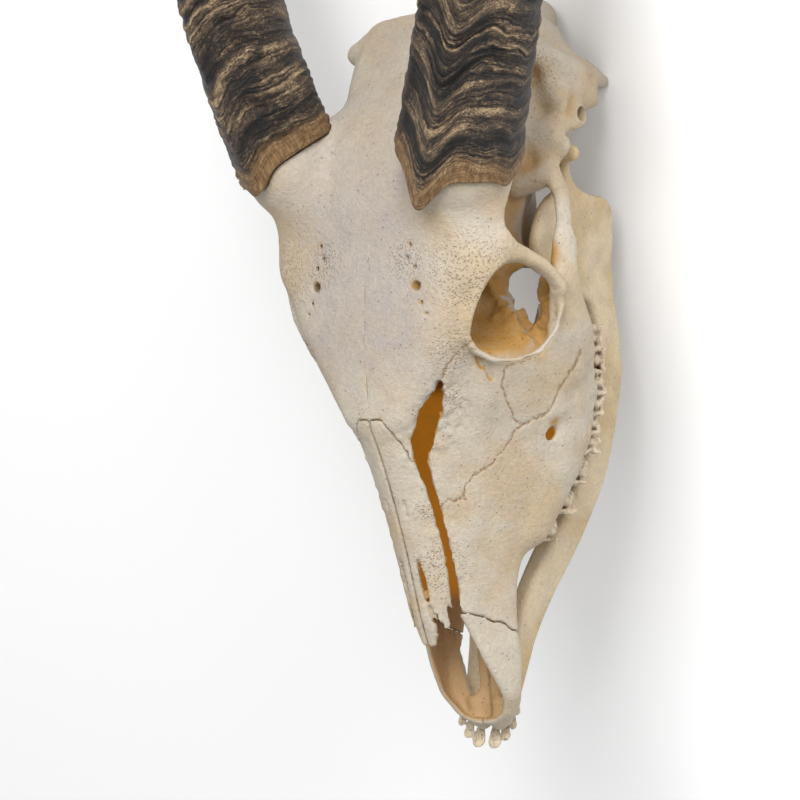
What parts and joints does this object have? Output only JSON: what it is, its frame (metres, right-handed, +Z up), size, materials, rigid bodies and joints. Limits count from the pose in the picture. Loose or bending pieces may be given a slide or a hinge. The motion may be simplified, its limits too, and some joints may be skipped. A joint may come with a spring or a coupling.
{
  "type": "antelope skull",
  "caption": "Life-size skull of a spiral-horned forest antelope with its horn sheaths and lower jaw, cleaned and bleached, lying as it rests on a floor.",
  "frame": {"origin": "on the floor under the middle of the bounding box", "axes": "+X towards the animal's left, +Y along the skull from the muzzle to the horn tips, +Z up"},
  "size_m": [0.2834, 1.0017, 0.2198],
  "materials": {
    "cranium": "bleached bone, ivory white",
    "nasal_left": "bleached bone, ivory white",
    "nasal_right": "bleached bone, ivory white",
    "premaxilla_left": "bleached bone, ivory white",
    "premaxilla_right": "bleached bone, ivory white",
    "mandible_left": "bone, warm tan",
    "mandible_right": "bone, warm tan",
    "horn_left": "ridged horn, dark grey-brown",
    "horn_right": "ridged horn, dark grey-brown"
  },
  "bodies": {
    "root": {"cranium": "cranium", "nasal_left": "nasal_left", "nasal_right": "nasal_right", "premaxilla_left": "premaxilla_left", "premaxilla_right": "premaxilla_right", "mandible_left": "mandible_left", "mandible_right": "mandible_right", "horn_left": "horn_left", "horn_right": "horn_right"}
  },
  "joints": []
}
